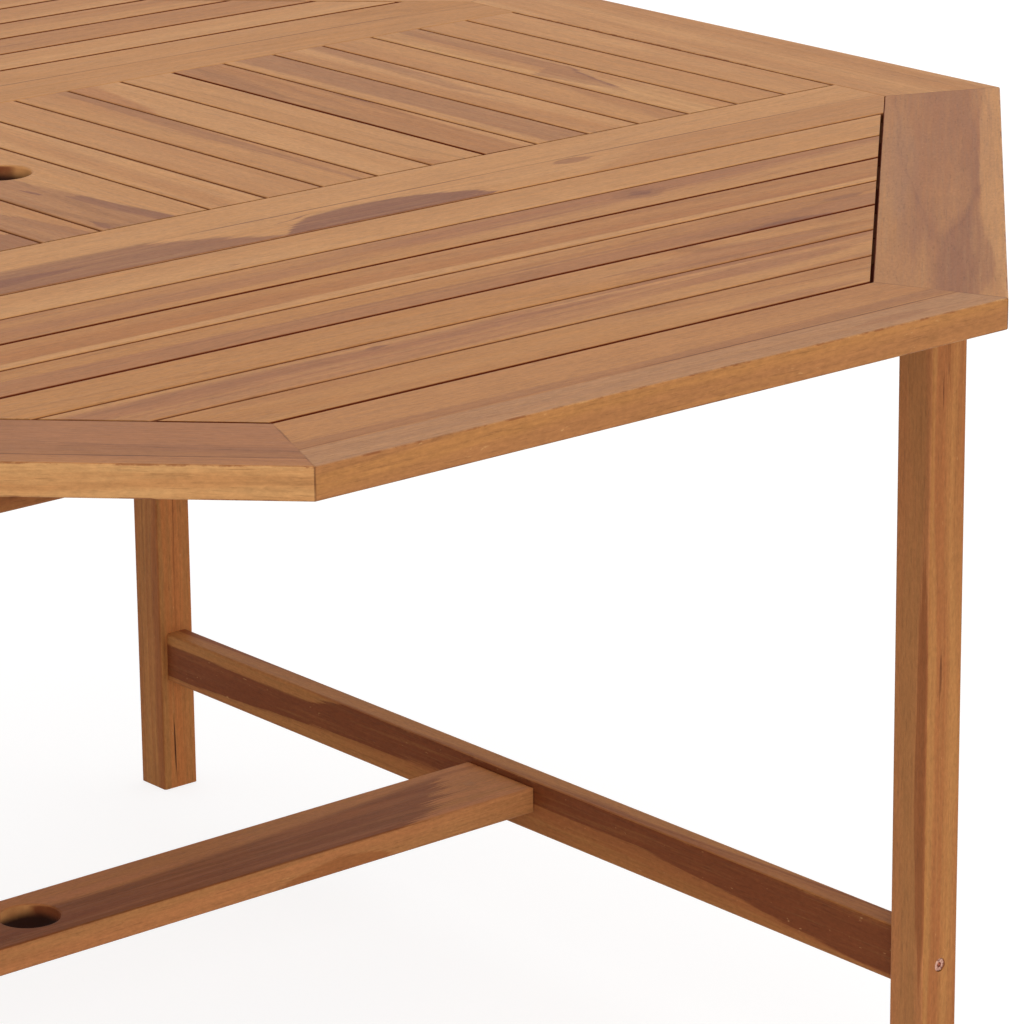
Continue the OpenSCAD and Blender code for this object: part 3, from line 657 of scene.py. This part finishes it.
# Looks of the boards that the photograph shows. Along and the line run from each
# board's middle, and the line goes across on broad faces and through on narrow ones.
LOOKS = {
    "rail_front": Look((HONEY, TAN), (AMBER, TAN), 1, (0.03, -0.05), (0.01, 0.03), (
        Patch(-0.010, ((-0.3, 0.004), (0.0, -0.002), (0.3, 0.008)), UMBER, 0.5, feather=0.006),
        # Painted sheen on the outer strip
        Patch(-0.05, -0.013, FAWN_SHEEN, 0.42),
        streak(0.16, 0.24, -0.030, 0.006, 0.0, UMBER, 0.4),
    ), -0.011),
    "rail_front_right": Look((GOLD, ROSE), (HONEY, TAN), 2, (0.0, -0.09), (0.0, 0.02), (
        Patch(-0.022, 0.05, UMBER, 0.36, feather=0.008),
        streak(-0.3, 0.1, 0.020, 0.010, 0.03, HEART, 0.25, feather=0.012),
        # Painted sheen
        streak(-0.2, 0.3, 0.030, 0.012, 0.0, FAWN_SHEEN, 0.2, feather=0.012),
        streak(-0.45, -0.02, -0.016, 0.020, -0.03, HEART, 0.45, feather=0.012),
        Patch(-0.05, ((-0.33, -0.043), (-0.15, -0.032), (0.0, -0.028), (0.2, -0.029), (0.33, -0.034)),
              PALE, 0.5),
        streak(-0.20, 0.30, -0.024, 0.003, 0.0, HEART, 0.4, feather=0.004),
    ), None),
    "rail_right": Look((PALE, HONEY), (GOLD, HONEY), 3, (0.05, -0.09)),
    "rail_back_right": Look((PALE, GOLD), (GOLD, HONEY), 4, (-0.03, -0.09)),
    "rail_front_left": Look((TAN, ROSE), (CREAM, GOLD), 5, (0.02, -0.08), (0.0, 0.02), (
        Patch(-0.028, -0.004, UMBER, 0.6),
        Patch(-0.05, -0.043, HONEY, 0.7),
    ), -0.028),
    "stringer_front": Look((PALE, GOLD), None, 6, (0.02, -0.10), (0.0, 0.015), (
        Patch(-0.06, ((-0.6, -0.001), (-0.05, -0.001), (0.0, -0.02), (0.06, -0.06)),
              HEART, 0.6, feather=0.010),
        streak(-0.5, -0.09, -0.026, 0.013, 0.0, HEART, 0.6),
        Patch(-0.06, ((0.030, -0.060), (0.045, -0.045), (0.062, -0.029), (0.085, -0.016), (0.12, -0.011),
                      (0.15, -0.010), (0.175, -0.014), (0.20, -0.022), (0.225, -0.034), (0.245, -0.060)),
              HEART, 0.72, feather=0.005),
        streak(0.045, 0.10, -0.014, 0.0010, 0.25, HEART, 0.6, feather=0.001),
        streak(0.20, 0.28, -0.018, 0.0008, 0.0, UMBER, 0.6, feather=0.001),
        streak(0.315, 0.36, -0.009, 0.008, 0.0, UMBER, 0.6),
        Patch(-0.06, ((0.30, -0.06), (0.42, -0.002), (0.7, -0.002)), TAN, 0.4, feather=0.006),
    ), 0.0),
    "stringer_back": Look((GOLD, AMBER), None, 7, (0.03, -0.10), (0.0, 0.03), (), 0.002),
    "front_slat_1": Look((PALE, GOLD), None, 11, (0.03, -0.09), (0.0, 0.01), (
        streak(-0.045, -0.032, -0.015, 0.002, 0.0, UMBER, 0.6, feather=0.001),
    )),
    "front_slat_2": Look((GOLD, ROSE), None, 12, (-0.04, -0.06), (0.01, 0.02), (
        left_without_sheen(0.35),
        streak(0.275, 0.335, 0.008, 0.014, 0.0, UMBER, 0.55, feather=0.006),
        streak(0.295, 0.318, 0.008, 0.006, 0.0, HEART, 0.6),
        streak(-0.35, 0.10, -0.006, 0.010, 0.0, ROSE, 0.5, feather=0.006),
        streak(0.10, 0.28, 0.000, 0.0015, 0.02, UMBER, 0.5, feather=0.001),
    )),
    "front_slat_3": Look((HONEY, TAN), None, 13, (0.05, -0.05), (0.0, 0.02), (
        left_without_sheen(0.55),
        Patch(((-0.6, -0.016), (-0.10, -0.015), (0.0, -0.012), (0.1, -0.013), (0.45, -0.017)),
              ((-0.6, 0.008), (-0.1, 0.012), (0.2, 0.0), (0.45, -0.006)), RUSSET, 0.4, feather=0.012),
        Patch(-0.03, ((-0.6, -0.016), (-0.10, -0.015), (0.0, -0.012), (0.1, -0.013), (0.45, -0.017)),
              PALE, 0.85),
    )),
    "front_slat_4": Look((GOLD, TAN), None, 14, (-0.02, -0.05), (0.01, 0.01), (
        left_without_sheen(0.55),
        Patch(-0.03, ((-0.6, 0.005), (-0.18, 0.003), (-0.08, -0.002), (0.05, -0.006), (0.18, -0.005),
                      (0.28, -0.002), (0.45, 0.001)), ROSE, 0.65),
        streak(-0.45, 0.45, -0.002, 0.0016, 0.0, UMBER, 0.6, feather=0.001),
        streak(0.38, 0.43, 0.005, 0.005, 0.0, UMBER, 0.65),
        streak(0.27, 0.38, -0.024, 0.007, 0.0, HEART, 0.6, feather=0.004),
    )),
    "front_slat_5": Look((GOLD, TAN), None, 15, (0.03, -0.07), (0.0, 0.03), (
        left_without_sheen(0.6),
        streak(0.12, 0.36, -0.008, 0.016, 0.0, ROSE, 0.6, feather=0.008),
        streak(0.10, 0.20, -0.003, 0.0014, 0.0, UMBER, 0.6, feather=0.001),
        streak(0.14, 0.30, -0.016, 0.0030, 0.0, UMBER, 0.5),
    )),
    "front_slat_6": Look((GOLD, ROSE), None, 16, (-0.05, -0.07), (0.0, 0.02), (
        streak(-0.35, -0.06, 0.010, 0.010, 0.0, UMBER, 0.4, feather=0.006),
        streak(-0.110, -0.085, 0.014, 0.004, 0.1, HEART, 0.5),
        streak(-0.06, 0.16, 0.010, 0.0012, 0.0, UMBER, 0.6, feather=0.001),
        streak(0.0, 0.30, 0.016, 0.004, 0.0, PALE, 0.6),
        streak(0.12, 0.34, 0.002, 0.010, 0.0, ROSE, 0.6, feather=0.006),
    )),
    "front_slat_7": Look((GOLD, TAN), None, 17, (0.02, -0.04), (0.0, 0.03), (
        left_without_sheen(0.5),
        streak(-0.30, -0.08, 0.018, 0.007, 0.0, TAN, 0.6, feather=0.006),
        streak(0.10, 0.28, -0.018, 0.006, 0.0, ROSE, 0.6, feather=0.004),
    )),
    "centre_plank": Look((PALE, GOLD), None, 20, (0.02, -0.10), (0.02, 0.02), (
        Patch(((-0.20, -0.018), (-0.185, -0.015), (-0.14, -0.008), (-0.10, -0.002), (-0.06, 0.002),
               (-0.01, 0.008), (0.02, 0.06)), 0.06, UMBER, 0.5, feather=0.005),
        Patch(((-0.20, -0.018), (-0.185, -0.015), (-0.14, -0.008), (-0.10, -0.002), (-0.06, 0.060)),
              ((-0.20, -0.002), (-0.185, 0.000), (-0.14, 0.006), (-0.10, 0.008), (-0.06, 0.0)),
              HEART, 0.5, feather=0.004),
        streak(-0.085, -0.050, 0.019, 0.0015, 0.1, HEART, 0.7, feather=0.001),
        streak(-0.20, -0.165, 0.036, 0.006, 0.0, HEART, 0.6),
    )),
    "centre_slats_1": Look((PALE, HONEY), None, 21, (0.03, -0.07), (0.0, 0.01), (
        Patch(-0.03, ((-0.20, 0.02), (-0.12, 0.005), (-0.05, -0.03)), UMBER, 0.55, half=-1),
    )),
    "centre_slats_2": Look((PALE, HONEY), None, 22, (0.0, -0.09), (0.0, 0.01), (
        Patch(-0.03, ((-0.20, 0.03), (-0.17, 0.03), (-0.12, -0.01), (-0.09, -0.03)), UMBER, 0.7, half=-1),
    )),
    "centre_slats_3": Look((GOLD, HONEY), None, 23, (-0.05, -0.06), (0.02, 0.02), (
        Patch(((-0.20, -0.012), (-0.10, -0.016), (0.0, -0.020), (0.10, -0.024), (0.20, -0.025)),
              ((-0.20, -0.006), (-0.10, -0.008), (0.0, -0.004), (0.10, -0.010), (0.20, -0.013)),
              UMBER, 0.5, feather=0.004),
    )),
    "centre_slats_4": Look((PALE, GOLD), None, 24, (0.03, -0.07), (0.02, 0.0), (
        Patch(((0.05, 0.040), (0.09, 0.018), (0.14, 0.008), (0.20, 0.0)), 0.03,
              RUSSET, 0.5, feather=0.006),
    )),
    "centre_slats_5": Look((PALE, GOLD), None, 25, (-0.03, -0.09), (0.0, 0.01), (
        Patch(((-0.20, 0.006), (-0.15, 0.030)), 0.03, RUSSET, 0.35, feather=0.006),
    )),
    "centre_slats_6": Look((GOLD, TAN), None, 26, (0.02, -0.07), (0.0, 0.02), (
        Patch(((0.02, 0.032), (0.08, 0.008), (0.14, -0.002), (0.20, -0.008)), 0.03,
              UMBER, 0.6, feather=0.006),
        Patch(((-0.20, -0.010), (0.0, -0.004), (0.10, -0.014), (0.20, -0.03)), 0.03,
              TAN, 0.5, feather=0.006),
        streak(-0.02, 0.06, -0.021, 0.0018, 0.0, HEART, 0.7, feather=0.002),
        Patch(-0.03, ((-0.20, -0.012), (-0.05, -0.018), (0.0, -0.03)), PALE, 0.6, feather=0.004),
    )),
    "centre_slats_7": Look((PALE, GOLD), None, 27, (0.02, -0.10), (0.0, 0.01), (
        Patch(-0.03, ((-0.20, 0.013), (0.0, 0.011), (0.20, 0.013)), UMBER, 0.55, feather=0.004),
    )),
    "centre_slats_8": Look((PALE, HONEY), None, 28, (-0.04, -0.06), (0.03, 0.0), (
        Patch(((-0.08, -0.008), (0.0, -0.012), (0.10, -0.022), (0.20, -0.026)),
              ((-0.08, -0.012), (0.0, 0.002), (0.10, -0.006), (0.20, -0.010)), UMBER, 0.5, feather=0.005),
    )),
    "centre_slats_9": Look((GOLD, HONEY), None, 29, (0.04, -0.08), (0.0, 0.01), (
        Patch(-0.03, ((-0.20, 0.002), (-0.10, -0.008), (-0.02, -0.03)), TAN, 0.6, feather=0.006),
    )),
    "centre_slats_10": Look((CREAM, HONEY), None, 30, (0.0, -0.06), (0.0, 0.03), (
        Patch(((-0.125, 0.010), (-0.08, 0.001), (-0.055, -0.004), (-0.025, -0.012), (0.0, -0.023)),
              ((-0.125, 0.003), (-0.11, 0.0075), (-0.07, 0.0125), (-0.04, 0.0175), (-0.005, 0.0225),
               (0.005, 0.0)), UMBER, 0.45),
        Patch(((-0.125, 0.010), (-0.08, 0.001), (-0.055, -0.004), (-0.025, -0.012), (0.0, -0.023)),
              ((-0.125, 0.003), (-0.08, 0.004), (-0.055, -0.001), (-0.025, -0.009), (0.0, -0.020)),
              HEART, 0.6, feather=0.0015),
        Patch(((-0.15, 0.0), (-0.10, -0.006), (-0.05, -0.012), (-0.01, -0.024)),
              ((-0.15, 0.0), (-0.10, -0.002), (-0.05, -0.007), (-0.01, -0.019)), PALE, 0.6),
        Patch(-0.03, ((0.06, -0.03), (0.12, -0.012), (0.17, -0.018)), TAN, 0.3, feather=0.006),
    )),
    "centre_slats_11": Look((GOLD, HONEY), None, 31, (-0.03, -0.08)),
    "centre_slats_12": Look((PALE, HONEY), None, 32, (0.02, -0.09)),
    "leg_front_right": Look((CEDAR, HONEY), (AMBER, RUSSET), 41, (0.03, -0.04), (0.01, 0.01), (
        streak(-0.28, 0.13, -0.013, 0.007, 0.0, COPPER, 0.6),
        streak(-0.030, 0.034, 0.004, 0.0010, 0.0, BARK, 0.6, "side", 0.001),
        streak(0.200, 0.256, 0.006, 0.0010, 0.0, BARK, 0.6, "side", 0.001),
        streak(0.20, 0.36, 0.0, 0.0010, 0.01, CHESTNUT, 0.6, "side", 0.001),
    )),
    "leg_back_right": Look((AMBER, RUSSET), (SPICE, AMBER), 42, (-0.03, 0.04), (0.01, -0.01), (
        streak(-0.36, -0.27, 0.006, 0.0010, 0.03, BARK, 0.8, "side", 0.001),
        streak(-0.30, 0.30, 0.0, 0.0015, 0.0, CHESTNUT, 0.6, "side"),
        streak(-0.20, 0.40, 0.006, 0.003, 0.01, CHESTNUT, 0.6),
    )),
    "end_stretcher_right": Look((AMBER, COPPER), (AMBER, RUSSET), 43, (0.02, 0.05), (0.01, 0.02), (
        Patch(((-0.50, -0.0175), (-0.43, -0.0175), (-0.18, 0.0025), (-0.045, 0.0025), (0.17, -0.0045),
               (0.44, -0.0175), (0.50, -0.0175)),
              ((-0.50, 0.03), (0.18, 0.03), (0.26, 0.0125), (0.50, 0.0125)), CHESTNUT, 0.85, "side"),
    )),
    "long_stretcher": Look((CEDAR, AMBER), (CEDAR, HONEY), 44, (0.03, -0.06), (0.0, 0.02), (
        Patch(((-0.50, -0.06), (0.32, -0.06), (0.39, -0.020), (0.43, 0.030)),
              ((-0.50, 0.012), (-0.01, 0.010), (0.10, 0.005), (0.25, 0.014), (0.35, 0.022), (0.40, 0.028),
               (0.43, 0.030)), COCOA, 0.66, feather=0.010, ragged=0.12),
        streak(-0.45, 0.20, -0.020, 0.010, 0.0, COCOA, 0.5, feather=0.008),
        streak(0.20, 0.46, 0.010, 0.007, -0.03, RUSSET, 0.5, feather=0.008),
        Patch(-0.02, ((0.19, -0.015), (0.23, -0.002), (0.27, 0.003), (0.31, -0.002), (0.34, -0.015)),
              RUSSET, 0.7, "side"),
    )),
    "nut_plugs": Look((HONEY, TAN), None, 50),
}

# Light and dark wood for the boards that the photograph doesn't show, and the ranges
# that their seeded looks are drawn from, with a streak of heart in some
TOP_PAIRS = [(PALE, GOLD), (PALE, HONEY), (GOLD, HONEY), (GOLD, TAN), (HONEY, TAN)]
FRAME_PAIRS = [(AMBER, RUSSET), (RUSSET, COPPER), (AMBER, COPPER)]
SPARE_SEED = 100
PITH_RANGES = ((-0.06, 0.06), (-0.12, -0.05))
TILT_RANGES = ((-0.02, 0.02), (-0.03, 0.03))
HEART_MIDDLE = (-0.2, 0.2)
HEART_LINE = (-0.015, 0.015)
HEART_HALF_WIDTH = (0.003, 0.012)
HEART_ENDS = (-0.3, 0.25)
HEART_SLOPE = 0.02
HEART_STRENGTH = 0.5
HEART_CHANCE = 0.5

FRAME_WORDS = ("leg_front", "leg_back", "apron", "cross_batten", "end_stretcher", "long_stretcher")
STEEL_NODES = ("leg_bolts", "leg_bolt_nuts", "centre_bolts", "centre_bolt_nuts", "top_screws")
DOWEL_NODES = ("mitre_dowels", "leg_dowels", "nut_plugs")
BORED_NODES = ("centre_plank", "long_stretcher")

# Rails in the order in which each is turned an eighth of a circle further
RAILS = (
    "rail_front", "rail_front_right", "rail_right", "rail_back_right",
    "rail_back", "rail_back_left", "rail_left", "rail_front_left",
)
EIGHTH = math.pi / 4
QUARTER = math.pi / 2

# Boards whose gaps look thin
THIN_GAPS = (
    "rail_right", "stringer_front", "stringer_back",
    "front_slat_1", "front_slat_3", "front_slat_5", "front_slat_6",
    "centre_plank", "centre_slats_1", "centre_slats_2", "centre_slats_3", "centre_slats_4", "centre_slats_5",
    "centre_slats_7", "centre_slats_8", "centre_slats_9", "centre_slats_10", "centre_slats_11",
    "centre_slats_12",
)


def look_of(name, index):
    """The chosen look of a board, or one drawn from its index for boards out of sight."""
    if name in LOOKS:
        return LOOKS[name]
    seed = SPARE_SEED + index
    rng = random.Random(seed)
    pair = rng.choice(FRAME_PAIRS if name.startswith(FRAME_WORDS) else TOP_PAIRS)
    pith = tuple(rng.uniform(*span) for span in PITH_RANGES)
    tilt = tuple(rng.uniform(*span) for span in TILT_RANGES)
    middle = rng.uniform(*HEART_MIDDLE)
    line = rng.uniform(*HEART_LINE)
    half_width = rng.uniform(*HEART_HALF_WIDTH)
    start, end = (middle + end for end in HEART_ENDS)
    heart = streak(start, end, line, half_width, HEART_SLOPE, UMBER, HEART_STRENGTH)
    return Look(pair, None, seed, pith, tilt, (heart,) if rng.random() < HEART_CHANCE else ())


def board_of(name):
    """Centre, turn and half size of a board, from its name and its mesh."""
    low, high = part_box(name)
    centre = (low + high) / 2
    half = (high - low) / 2
    corners = [vertex.co for vertex in NODES[name].data.vertices]
    if name in RAILS:
        turn = RAILS.index(name) * EIGHTH
        outward = Vector((math.sin(turn), -math.cos(turn), 0))
        forward = Vector((math.cos(turn), math.sin(turn), 0))
        depths = [corner.dot(outward) for corner in corners]
        half_width = (max(depths) - min(depths)) / 2
        half_length = max(corner.dot(forward) for corner in corners)
        centre = outward * (max(depths) - half_width) + Vector((0, 0, centre.z))
        return Board(centre, (0, 0, turn), (half_length, half_width, half.z))
    if name.startswith("centre_slats"):
        sides = [abs(corner.x) for corner in corners]
        fold = (max(sides) + min(sides)) / 2
        half_width = (max(sides) - min(sides)) / 2
        return Board(centre, (0, 0, QUARTER), (half.y, half_width, half.z), fold)
    if name.startswith("leg_"):
        return Board(centre, (0, -QUARTER, 0), (half.z, half.y, half.x))
    if half.y > half.x:
        return Board(centre, (0, 0, QUARTER), (half.y, half.x, half.z))
    return Board(centre, (0, 0, 0), (half.x, half.y, half.z))


def wooden(name, index):
    """The material of one wooden node."""
    look = look_of(name, index)
    wood = Wood("wood_" + name, board_of(name), look)
    wood.grain()
    colour = wood.plain()
    for patch in look.patches:
        colour = wood.patch(colour, patch)
    colour = wood.fine_shade(colour)
    if name in DOWEL_NODES:
        return wood.finish(colour, DOWEL_GLOSS)
    frame_part = name.startswith(FRAME_WORDS)
    thin = name in THIN_GAPS
    if frame_part:
        colour = wood.wear_and_light_edges(colour, FRAME_EASE, FRAME_EDGE_MARKS)
    elif name in RAILS:
        colour = wood.wear_and_light_edges(colour, TOP_EASE, RAIL_EDGE_MARKS)
        colour = wood.shade_and_dirty_gaps(colour, "inner", thin)
        colour = wood.mitre(colour)
    elif name == "centre_plank":
        colour = wood.shade_and_dirty_gaps(colour, "outline", thin)
    elif name.startswith("stringer"):
        colour = wood.shade_and_dirty_gaps(colour, "long", thin)
    else:
        colour = wood.shade_and_dirty_gaps(colour, "all", thin)
    colour = wood.glue(colour)
    if name in BORED_NODES:
        colour = wood.bare_bore(colour, frame["record"]["mounts"][0]["dims"]["r_mm"] / MM_PER_M)
    return wood.finish(colour, FRAME_GLOSS if frame_part else TOP_GLOSS)


def dress_all():
    """Gives each node one material on all its slots."""
    metal = steel("zinc_steel")
    for index, name in enumerate(sorted(NODES)):
        material = metal if name in STEEL_NODES else wooden(name, index)
        slots = NODES[name].data.materials
        if not slots:
            slots.append(material)
        for place in range(len(slots)):
            slots[place] = material


def build_stage():
    """Pale floor that keeps the shadow and looks white."""
    mesh = bpy.data.meshes.new("floor")
    half = FLOOR_HALF
    corners = [(-half, -half, 0), (half, -half, 0), (half, half, 0), (-half, half, 0)]
    mesh.from_pydata(corners, [], [(0, 1, 2, 3)])
    floor = bpy.data.objects.new("floor", mesh)
    floor.location.z = -FLOOR_DROP
    bpy.context.scene.collection.objects.link(floor)
    graph = Graph(bpy.data.materials.new("floor_white"))
    matt = graph.shader("ShaderNodeBsdfDiffuse", Color=FLOOR_GREY)
    shadow = graph.shader("ShaderNodeBsdfDiffuse", Color=SHADOW_GREY)
    glow = graph.shader("ShaderNodeEmission", Strength=FLOOR_GLOW)
    lifted = graph.node("ShaderNodeAddShader")
    graph.feed_all(lifted.inputs, (shadow.outputs[0], glow.outputs[0]))
    output = graph.node("ShaderNodeOutputMaterial")
    graph.feed(output.inputs["Surface"], graph.choose(matt, lifted))
    mesh.materials.append(graph.owner)


def build_light():
    """A white room that the camera sees as pure white, and a soft lamp low in front."""
    world = bpy.data.worlds.new("studio")
    bpy.context.scene.world = world
    graph = Graph(world)
    room = graph.shader("ShaderNodeBackground", Color=WHITE, Strength=ROOM_STRENGTH)
    white = graph.shader("ShaderNodeBackground", Color=WHITE)
    output = graph.node("ShaderNodeOutputWorld")
    graph.feed(output.inputs["Surface"], graph.choose(room, white))
    lamp = bpy.data.lights.new("key", "SUN")
    lamp.energy = LAMP_STRENGTH
    lamp.angle = LAMP_WIDTH
    key = bpy.data.objects.new("key", lamp)
    key.rotation_mode = "QUATERNION"
    key.rotation_quaternion = LAMP_TOWARDS.to_track_quat("Z", "Y")
    bpy.context.scene.collection.objects.link(key)


def build_camera():
    """The camera at the photograph's viewing angle, with no shift."""
    data = bpy.data.cameras.new("camera")
    data.sensor_width = SENSOR_MM
    data.lens = LENS_MM
    data.clip_end = CLIP_END
    camera = bpy.data.objects.new("camera", data)
    turn = Matrix.Rotation(CAMERA_YAW - QUARTER, 4, "Z")
    tip = Matrix.Rotation(QUARTER - CAMERA_PITCH, 4, "X")
    roll = Matrix.Rotation(CAMERA_ROLL, 4, "Z")
    camera.matrix_world = Matrix.Translation(CAMERA_PLACE) @ turn @ tip @ roll
    bpy.context.scene.collection.objects.link(camera)
    bpy.context.scene.camera = camera


dress_all()
build_stage()
build_light()
build_camera()
bpy.context.scene.view_settings.view_transform = "Standard"
